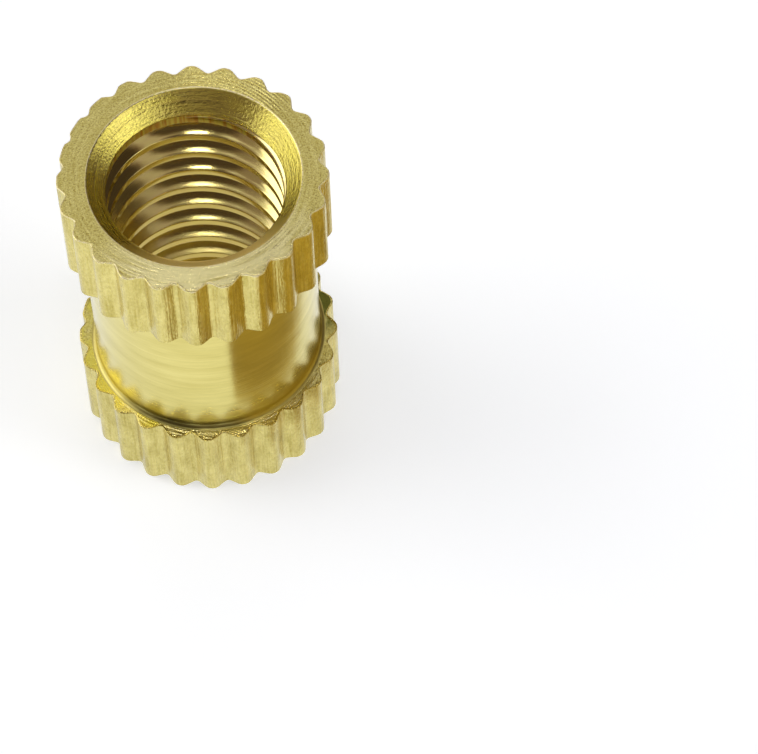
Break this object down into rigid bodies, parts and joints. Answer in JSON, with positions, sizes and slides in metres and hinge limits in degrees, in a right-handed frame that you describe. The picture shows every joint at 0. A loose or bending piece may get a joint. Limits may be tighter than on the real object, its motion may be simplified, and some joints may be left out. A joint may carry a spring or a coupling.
{
  "type": "threaded insert",
  "caption": "Brass moulded-in insert: straight-knurled band at each end, smooth turned neck between them, and a through bore with a right-hand metric thread, countersunk at both ends.",
  "frame": {"origin": "centre of the lower end face, on the bore axis", "axes": "+Z along the bore axis from the lower end face to the upper one; +X through the crest of a knurl tooth"},
  "size_m": [0.013, 0.013, 0.0186],
  "materials": {
    "brass": "turned and knurled free-cutting brass, bare, satin to bright"
  },
  "bodies": {
    "root": {"threaded_insert": "brass"}
  },
  "joints": []
}
